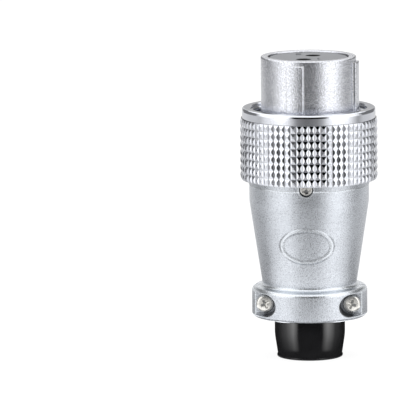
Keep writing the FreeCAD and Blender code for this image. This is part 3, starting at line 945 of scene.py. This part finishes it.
class CABLEPLUG_OT_castings(bpy.types.Operator):
    """Plates the nose, the rear shell and the loose half of the cable clamp"""

    bl_idname = "cable_plug.castings"
    bl_label = "Plate the castings"

    def execute(self, context):
        looks = context.scene.cable_plug
        nose = metal("nose_plating", looks.nose)
        dress(nose.material, "nose_plating", *nodes("front_barrel"))
        shell = metal(
            "shell_plating",
            looks.shell,
            lambda finish: self.grime(finish, looks.oval),
            lambda finish: self.relief(finish, looks.oval),
            lambda finish: self.rubbed(finish, looks.oval),
        )
        dress(shell.material, "shell_plating", *nodes("rear_shell", "clamp_saddle"))
        return {"FINISHED"}

    def oval(self, finish, sizes, start, end):
        """1 between two lines that run inside the oval's outline at those distances."""
        x, y, z = finish.axes()
        mask = y.ramp(0.0, -MM)
        for inset, way in ((start, -1.0), (end, 1.0)):
            wide = x / (sizes.half_width - inset)
            high = (z - sizes.height) / (sizes.half_height - inset)
            out = (wide * wide + high * high).root() - 1.0
            steep = way * (sizes.half_height - inset) / sizes.softness
            mask = mask * (out * steep + 0.5).clamped()
        return mask

    def grime(self, finish, sizes):
        """Painted shade in the pockets, at the foot of the oval's line, round the lock screw's
        seat and on the land under the ring.
        """
        foot = self.oval(finish, sizes, sizes.line, sizes.line + 0.3 * MM)
        outside = self.oval(finish, sizes, -0.25 * MM, 0.0)
        seat = 0.8 * self.circle(finish, 0.12 * MM, 0.12 * MM)
        # Painted shade on the turned land under the ring
        unshaded = self.pockets(finish) * (1.0 - 0.2 * self.land(finish, 0.0))
        return unshaded * (1.0 - 0.45 * foot - 0.2 * outside).clamped() * (1.0 - seat)

    def relief(self, finish, sizes):
        """The oval's soft slopes, and the ledge's, whose height is the reach of its slope."""
        ledge = 0.14 * MM
        slope = ledge * self.land(finish, ledge)
        return self.oval(finish, sizes, 0.0, sizes.line) * sizes.relief + slope

    def rubbed(self, finish, sizes):
        """Painted highlight on partly worn plating: 1 on the rims of the screws' seats, and less
        on the ledges, the neck and the oval's line.
        """
        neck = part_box("clamp_saddle")[1].z - 0.1 * MM
        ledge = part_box("coupling_ring")[0].z - LEDGE_DROP - 0.05 * MM
        bright = self.lips(finish)
        for more in (
            self.circle(finish, 0.34 * MM, 0.14 * MM),
            0.7 * (finish.height() - ledge).near(*WORN_AND_LIT_LINE),
            0.6 * (finish.height() - neck).near(0.5 * MM, 1.0 * MM),
            0.3 * self.oval(finish, sizes, 0.0, sizes.line),
        ):
            bright = bright.at_least(more)
        return bright

    def circle(self, finish, room, width):
        """1 on a line round the lock screw's head, of that width and that far from it."""
        low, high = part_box("lock_screw")
        x, y, z = finish.axes()
        rise = z - (low.z + high.z) / 2
        away = (x * x + rise * rise).root() - ((high.z - low.z) / 2 + room)
        return away.near(0.5 * width, 1.5 * width) * y.ramp(0.0, -MM)

    def land(self, finish, reach):
        """1 on the turned land under the ring, and 0 below its ledge."""
        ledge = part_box("coupling_ring")[0].z - LEDGE_DROP
        half = reach + 0.02 * MM
        return finish.height().ramp(ledge - half, ledge + half)

    def lips(self, finish):
        """1 on the outer ends of the floors that the clamp screws' heads sit on."""
        low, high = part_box("clamp_screws")
        end = math.sqrt(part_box("clamp_saddle")[1].x ** 2 - POCKET_FLOOR**2)
        reach = (high.z - low.z) / 2 + POCKET_ROOM
        back = 0.8 * MM - POCKET_FLOOR
        soft = 0.1 * MM
        x, y, z = finish.axes()
        line = (abs(x) - end).near(*WORN_AND_LIT_LINE)
        within = (z - (low.z + high.z) / 2).near(reach - soft, reach)
        return line * within * y.ramp(back, back - soft)

    def pockets(self, finish):
        """Painted shade on the round walls beside the clamp screws' heads, as a painted shadow
        fading over the floors towards the heads, and along their feet.
        """
        low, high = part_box("clamp_screws")
        radius = (high.z - low.z) / 2
        foot = 0.2 * MM - POCKET_FLOOR
        soft = 0.1 * MM
        shade_outside = 0.08 * MM
        shade_inside = 0.7 * MM
        x, y, z = finish.axes()
        aside = abs(x) - (high.x - radius)
        rise = z - (low.z + high.z) / 2
        wall = (aside * aside + rise * rise).root() - (radius + POCKET_ROOM)
        inside = (aside / MM).clamped() - wall / shade_inside
        away = (wall / shade_outside).at_least(inside)
        return (away + y.ramp(foot, foot + soft)).clamped()


class CABLEPLUG_OT_coupling_ring(bpy.types.Operator):
    """Plates the knurled ring and cuts the thread inside it"""

    bl_idname = "cable_plug.coupling_ring"
    bl_label = "Make the ring's plating and thread"

    def execute(self, context):
        looks = context.scene.cable_plug
        ring = metal("ring_plating", looks.ring, self.grooves, self.shoulder)
        dress(ring.material, "ring_plating", *nodes("coupling_ring"))
        thread = mesh_object("ring_thread", self.thread(looks.thread), "coupling_ring")
        dress(ring.material, "ring_plating", thread)
        return {"FINISHED"}

    def grooves(self, finish):
        """Painted shade in the bottoms of the knurl's grooves, below the smooth band."""
        low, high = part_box("coupling_ring")
        crest = (high.x - low.x) / 2
        bottom = crest - 0.25 * MM
        inner_wall = crest - 1.2 * MM
        band = high.z - 2.45 * MM
        shaded = 0.08 * MM
        soft = 0.05 * MM
        rise = finish.span().ramp(bottom, bottom + shaded)
        inside = finish.span().ramp(inner_wall, inner_wall - soft)
        above = finish.height().ramp(band, band + soft)
        return (rise + inside + above).clamped()

    def shoulder(self, finish):
        """The band leans in softly just under its top edge."""
        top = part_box("coupling_ring")[1].z - 0.34 * MM
        reach = 0.42 * MM
        lean_in = 0.11 * MM
        return finish.height().ramp(top - reach, top) * -lean_in

    def thread(self, sizes):
        """A helical ridge that fades in and out over its first and last half turns."""
        mesh = bmesh.new()
        count = round((sizes.high - sizes.low) / sizes.pitch * sizes.steps)
        root = sizes.bore + 0.02 * MM
        foot = 0.42 * sizes.pitch
        rings = []
        for i in range(count + 1):
            turn = 2 * math.pi * i / sizes.steps
            fade = min(1.0, 2 * i / sizes.steps, 2 * (count - i) / sizes.steps)
            depth = sizes.depth * max(fade, 0.02)
            middle = sizes.low + sizes.pitch * i / sizes.steps
            crest = 0.5 * (foot - 0.72 * depth)
            tip = sizes.bore - depth
            section = ((root, -foot), (tip, -crest), (tip, crest), (root, foot))
            rings.append([
                (r * math.cos(turn), r * math.sin(turn), middle + rise) for r, rise in section
            ])
        rod(mesh, rings)
        return mesh


class CABLEPLUG_OT_screws(bpy.types.Operator):
    """Gives the clamp screws and the lock screw rounded heads in worn nickel"""

    bl_idname = "cable_plug.screws"
    bl_label = "Make the screws"

    def execute(self, context):
        looks = context.scene.cable_plug
        nickel = metal("screw_nickel", looks.screw, self.hollows).material
        sizes = looks.screw_sizes
        low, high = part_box("clamp_screws")
        radius = (high.z - low.z) / 2
        tall = sizes.head_height
        # Share of painted shade in the clamp screws' crosses; the lock screw's cross takes the
        # full share
        cross_shade = 0.28
        for name, x, turn in (
            ("clamp_screw_left", low.x + radius, sizes.turn),
            ("clamp_screw_right", high.x - radius, -0.7 * sizes.turn),
        ):
            item = self.screw(name, sizes, (low, high), x, tall, turn, sizes.arm, cross_shade)
            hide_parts("clamp_screws")
            dress(nickel, "screw_nickel", item)
        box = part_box("lock_screw")
        tall = 1.0 * MM
        turn = 0.4 * sizes.turn
        arm = 1.6 * sizes.arm
        item = self.screw("lock_screw_head", sizes, box, 0.0, tall, turn, arm, 1.0)
        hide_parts("lock_screw")
        dress(nickel, "screw_nickel", item)
        return {"FINISHED"}

    def hollows(self, finish):
        """Painted shade in the crosses of the heads."""
        depth = finish.add("ShaderNodeAttribute", {"attribute_name": "hollow"}, output="Fac")
        return 1.0 - 0.85 * depth.clamped()

    def screw(self, name, sizes, box, x, tall, turn, arm, cross_shade):
        """A screw that looks towards -Y, with painted shade in its cross, 0 for none and 1 for
        most.
        """
        low, high = box
        centre = Vector((x, low.y, (low.z + high.z) / 2))
        mesh = bmesh.new()
        self.head(mesh, sizes, centre, (high.z - low.z) / 2, tall, turn, arm, cross_shade)
        self.shank(mesh, sizes, centre, tall, high.y - low.y)
        return mesh_object(name, mesh, "plug_body")

    def head(self, mesh, sizes, centre, radius, tall, turn, arm, cross_shade):
        """A pan head, from the middle of its cross to its underside."""
        hollow = mesh.verts.layers.float.new("hollow")
        count = 96
        face_steps = 26
        edge_steps = 8
        rounding = 0.3 * radius
        flat = radius - rounding
        rings = []
        for step in range(1, face_steps + 1):
            span = flat * step / face_steps
            rings.append([
                self.face_point(sizes, centre, span, 2 * math.pi * i / count, turn, radius, arm)
                for i in range(count)
            ])
        for step in range(1, edge_steps + 1):
            lean = math.pi / 2 * step / edge_steps
            drop = rounding * (1 - math.cos(lean)) + self.dome(flat, radius)
            span = flat + rounding * math.sin(lean)
            rings.append(self.circle(centre, span, min(drop, 0.9 * tall), count))
        rings.append(self.circle(centre, radius, tall, count))
        rings.append(self.circle(centre, 0.5 * sizes.shank, tall, count))
        rows = skin(mesh, rings)
        # Painted shade, stronger where the cross is sunk deeper
        for row in rows[:face_steps]:
            for corner in row:
                fall = corner.co.y - centre.y
                span = math.hypot(corner.co.x - centre.x, corner.co.z - centre.z)
                corner[hollow] = cross_shade * min(1.0, (fall - self.dome(span, radius)) / (0.25 * MM))
        middle = mesh.verts.new(centre + Vector((0.0, sizes.depth, 0.0)))
        middle[hollow] = cross_shade
        for i in range(count):
            mesh.faces.new((rows[0][i], rows[0][(i + 1) % count], middle))
        mesh.faces.new(rows[-1])

    def dome(self, span, radius):
        """How far the face falls away towards its edge."""
        return 0.1 * radius * (span / radius) ** 2

    def face_point(self, sizes, centre, span, angle, turn, radius, arm):
        """A point of the head's domed face, sunk where the cross is."""
        across = abs(span * math.cos(angle - turn))
        along = abs(span * math.sin(angle - turn))
        soft = 0.06 * MM
        cut = ease((1.9 * arm - span) / soft + 0.5)
        for reach, side in ((across, along), (along, across)):
            inside = ease((sizes.recess - reach) / soft + 0.5)
            cut = max(cut, inside * ease((arm - side) / soft + 0.5))
        slope = 1.0 - 0.75 * span / sizes.recess
        drop = self.dome(span, radius) + cut * sizes.depth * max(slope, 0.0)
        return self.point(centre, span, angle, drop)

    def point(self, centre, span, angle, drop):
        """A point beside the screw's axis, that far behind the middle of its head."""
        return centre + Vector((span * math.cos(angle), drop, span * math.sin(angle)))

    def circle(self, centre, span, drop, count):
        return [self.point(centre, span, 2 * math.pi * i / count, drop) for i in range(count)]

    def shank(self, mesh, sizes, centre, start, end):
        """A threaded rod from the head's underside to the screw's tip."""
        count = 24
        steps = 6
        total = round((end - start) / sizes.pitch * steps)
        rings = []
        for step in range(total + 1):
            drop = start + (end - start) * step / total
            ring = []
            for i in range(count):
                phase = (step / steps + i / count) % 1.0
                rise = 1.0 - abs(2.0 * phase - 1.0)
                span = sizes.shank * (0.8 + 0.2 * rise)
                ring.append(self.point(centre, span, 2 * math.pi * i / count, drop))
            rings.append(ring)
        rod(mesh, rings)


class CABLEPLUG_OT_steel(bpy.types.Operator):
    """Finishes the washers, the snap ring and the springs"""

    bl_idname = "cable_plug.steel"
    bl_label = "Finish the spring steel"

    def execute(self, context):
        looks = context.scene.cable_plug
        steel = metal("spring_steel", looks.steel)
        parts = nodes(
            "slip_washer",
            "screw_spring_washers",
            "insert_snap_ring",
            "grommet_washer",
            "contact_spring_1",
            "contact_spring_2",
        )
        dress(steel.material, "spring_steel", *parts)
        return {"FINISHED"}


class CABLEPLUG_OT_contacts(bpy.types.Operator):
    """Gilds the two contacts"""

    bl_idname = "cable_plug.contacts"
    bl_label = "Gild the contacts"

    def execute(self, context):
        looks = context.scene.cable_plug
        gilt = metal("contact_gold", looks.contact)
        dress(gilt.material, "contact_gold", *nodes("contact_1", "contact_2"))
        return {"FINISHED"}


class CABLEPLUG_OT_insulators(bpy.types.Operator):
    """Finishes the two insulators and numbers the contacts on the front one"""

    bl_idname = "cable_plug.insulators"
    bl_label = "Finish the insulators"

    def execute(self, context):
        looks = context.scene.cable_plug.insulator
        colour = tuple(looks.colour)
        finish = Finish("insulator", {"Base Color": colour, "Roughness": looks.roughness})
        cloud = finish.noise(3 * MM)
        grain = finish.noise(looks.grain_size, 3.0, 0.6)
        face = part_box("insert_front")[1].z
        # Painted shade: the contact holes turn near black just below the face
        open_to_light = finish.height().ramp(face - 0.14 * MM, face - 0.04 * MM)
        moulded = finish.blend(cloud, shade(0.9, colour), shade(1.08, colour))
        finish.vary("Base Color", finish.blend(open_to_light, shade(0.06, colour), moulded))
        finish.vary("Roughness", looks.roughness + 0.12 * (grain - 0.5))
        finish.bump(grain * looks.grain_depth)
        dress(finish.material, "insulator", *nodes("insert_front", "insert_rear"))
        for number, points, place in (
            ("1", ONE_LINE, (0.0028, -0.0048)),
            ("2", TWO_LINE, (-0.0026, 0.0044)),
        ):
            mesh = self.numeral(points, Vector((*place, face)))
            item = mesh_object("contact_number_" + number, mesh, "plug_body")
            dress(finish.material, "insulator", item)
        return {"FINISHED"}

    def numeral(self, points, place):
        """A raised line through points that are given in tenths of the numeral's height."""
        tenth = 0.2 * MM
        half_width = 0.14 * MM
        foot = -0.05 * MM
        top = 0.16 * MM
        section = ((1.0, foot), (0.6, top), (-0.6, top), (-1.0, foot))
        line = [place + Vector((x * tenth, y * tenth, 0.0)) for x, y in points]
        rings = []
        for i, point in enumerate(line):
            along = (line[min(i + 1, len(line) - 1)] - line[max(i - 1, 0)]).normalized()
            side = Vector((-along.y, along.x, 0.0)) * half_width
            rings.append([point + side * way + Vector((0.0, 0.0, rise)) for way, rise in section])
        mesh = bmesh.new()
        rod(mesh, rings)
        return mesh


class CABLEPLUG_OT_rubber(bpy.types.Operator):
    """Finishes the cable grommet and the seals"""

    bl_idname = "cable_plug.rubber"
    bl_label = "Finish the rubber"

    def execute(self, context):
        looks = context.scene.cable_plug.rubber
        colour = tuple(looks.colour)
        finish = Finish(
            "black_rubber",
            {"Base Color": colour, "Roughness": looks.roughness, "Specular IOR Level": 0.6},
        )
        cloud = finish.noise(4 * MM)
        grain = finish.noise(looks.grain_size)
        finish.vary("Base Color", finish.blend(cloud, shade(0.7, colour), shade(1.4, colour)))
        finish.vary("Roughness", looks.roughness + 0.1 * (cloud - 0.5))
        finish.bump(grain * (looks.grain_depth * 0.5))
        parts = nodes("cable_grommet", "face_gasket", "shell_seal_ring")
        dress(finish.material, "black_rubber", *parts)
        return {"FINISHED"}


class CABLEPLUG_OT_studio(bpy.types.Operator):
    """Sets up the camera, the floor, the light and the walls that the metal mirrors"""

    bl_idname = "cable_plug.studio"
    bl_label = "Set up the studio"

    def execute(self, context):
        studio = context.scene.cable_plug.studio
        self.camera(context.scene, studio)
        self.room(context.scene, studio)
        self.floor()
        self.lamps(studio)
        self.tent("tent", studio, TENT_LEVELS)
        self.tent("low_tent", studio, LOW_TENT_LEVELS)
        context.scene.view_settings.view_transform = "Standard"
        return {"FINISHED"}

    def camera(self, scene, studio):
        data = bpy.data.cameras.new("camera")
        data.sensor_width = SENSOR_WIDTH
        data.lens = SENSOR_WIDTH * studio.distance / studio.frame_width
        data.clip_start = 0.05
        data.clip_end = 30.0
        item = put("camera", data)
        scene.camera = item
        across = Vector((math.cos(studio.azimuth), math.sin(studio.azimuth), 0.0))
        back = towards(studio.azimuth, studio.elevation)
        aim = Vector((0.0, 0.0, studio.aim_height)) - across * studio.aim_left
        item.location = aim + back * studio.distance
        item.rotation_mode = "QUATERNION"
        lean = Matrix.Rotation(studio.roll, 3, "Z").to_quaternion()
        item.rotation_quaternion = back.to_track_quat("Z", "Y") @ lean

    def room(self, scene, studio):
        """A white room to the camera and to mirrors, and an even light on everything else."""
        world = bpy.data.worlds.new("room")
        world.use_nodes = True
        scene.world = world
        wiring = Wiring(world.node_tree)
        seen = wiring.ray("Camera").at_least(wiring.ray("Glossy"))
        seen = seen.at_least(wiring.ray("Transmission"))
        light, white = (
            wiring.add("ShaderNodeBackground", {}, {"Color": WHITE, "Strength": strength})
            for strength in (studio.room_light, 1.0)
        )
        shown = wiring.add("ShaderNodeMixShader", {}, (seen, light, white))
        wiring.node("ShaderNodeOutputWorld", {}, {"Surface": shown})

    def floor(self):
        """A pale floor that stays white to the camera except where the plug shades it."""
        half_size = 6.0
        glow_share = 0.82
        mesh = bmesh.new()
        bmesh.ops.create_grid(mesh, x_segments=1, y_segments=1, size=half_size)
        item = self.staged("floor", mesh)
        finish = Finish("floor_paper", {"Base Color": shade(0.9, WHITE), "Roughness": 0.9})
        glow = finish.add("ShaderNodeEmission", {}, {"Color": WHITE, "Strength": 1.08})
        mask = glow_share * finish.ray("Camera").at_least(finish.ray("Diffuse"))
        finish.show(finish.add("ShaderNodeMixShader", {}, (mask, finish.surface, glow)))
        item.data.materials.append(finish.material)

    def staged(self, name, mesh):
        item = put_mesh(name, mesh)
        return item

    def lamps(self, studio):
        """Two soft boxes beside the camera and one above, each aimed at the plug's middle."""
        middle = Vector((0.0, 0.0, 0.04))
        for name, turn, rise, power, size in (
            ("left_box", -60.0, 30.0, 5.0, 0.6),
            ("right_box", 62.0, 30.0, 4.0, 0.6),
            ("top_box", 180.0, 65.0, 3.0, 0.7),
        ):
            data = bpy.data.lights.new(name, "AREA")
            data.energy = power
            data.size = size
            item = put(name, data)
            way = towards(studio.azimuth + math.radians(turn), math.radians(rise))
            item.location = middle + way * LAMP_DISTANCE
            item.rotation_mode = "QUATERNION"
            item.rotation_quaternion = way.to_track_quat("Z", "Y")
            item.visible_glossy = False
            item.visible_camera = False

    def tent(self, name, studio, levels):
        """A round wall that only metal and gloss mirror, brighter and darker at each turn."""
        mesh = bmesh.new()
        layer = mesh.verts.layers.float.new("glow")
        count = 180
        turns = [360.0 * i / count - 180.0 for i in range(count)]
        ways = [towards(studio.azimuth + math.radians(turn), 0.0) for turn in turns]
        rings = [
            [way * radius + Vector((0.0, 0.0, height)) for way in ways]
            for radius, height, _ in levels
        ]
        for row, (_, _, glow) in zip(skin(mesh, rings), levels):
            for corner, turn in zip(row, turns):
                corner[layer] = between(glow, turn)
        item = self.staged(name, mesh)
        finish = Finish(name, {})
        glow = finish.add("ShaderNodeAttribute", {"attribute_name": "glow"}, output="Fac")
        finish.show(finish.add("ShaderNodeEmission", {}, {"Color": WHITE, "Strength": glow}))
        item.data.materials.append(finish.material)
        item.visible_camera = False
        item.visible_shadow = False
        item.visible_diffuse = False


class CABLEPLUG_PT_panel(bpy.types.Panel):
    """Lists the steps that dress the plug, and the sizes and colours that they use"""

    bl_idname = "CABLEPLUG_PT_panel"
    bl_label = "Cable plug"
    bl_space_type = "VIEW_3D"
    bl_region_type = "UI"
    bl_category = "Cable plug"

    def draw(self, context):
        for step in STEPS:
            self.layout.operator(step.bl_idname)
        looks = context.scene.cable_plug
        for name in Looks.__annotations__:
            group = getattr(looks, name)
            box = self.layout.box()
            box.label(text=Looks.bl_rna.properties[name].name)
            for setting in type(group).__annotations__:
                box.prop(group, setting)


STEPS = (
    CABLEPLUG_OT_castings,
    CABLEPLUG_OT_coupling_ring,
    CABLEPLUG_OT_screws,
    CABLEPLUG_OT_steel,
    CABLEPLUG_OT_contacts,
    CABLEPLUG_OT_insulators,
    CABLEPLUG_OT_rubber,
    CABLEPLUG_OT_studio,
)
CLASSES = (
    MetalLooks,
    PlasticLooks,
    OvalSizes,
    ThreadSizes,
    ScrewSizes,
    StudioSettings,
    Looks,
    *STEPS,
    CABLEPLUG_PT_panel,
)


def register():
    for kind in CLASSES:
        bpy.utils.register_class(kind)
    bpy.types.Scene.cable_plug = bpy.props.PointerProperty(type=Looks)


def unregister():
    del bpy.types.Scene.cable_plug
    for kind in reversed(CLASSES):
        bpy.utils.unregister_class(kind)


def main():
    register()
    set_looks(bpy.context.scene.cable_plug)
    bpy.ops.cable_plug.castings()
    bpy.ops.cable_plug.coupling_ring()
    bpy.ops.cable_plug.screws()
    bpy.ops.cable_plug.steel()
    bpy.ops.cable_plug.contacts()
    bpy.ops.cable_plug.insulators()
    bpy.ops.cable_plug.rubber()
    bpy.ops.cable_plug.studio()


if __name__ == "__main__":
    main()
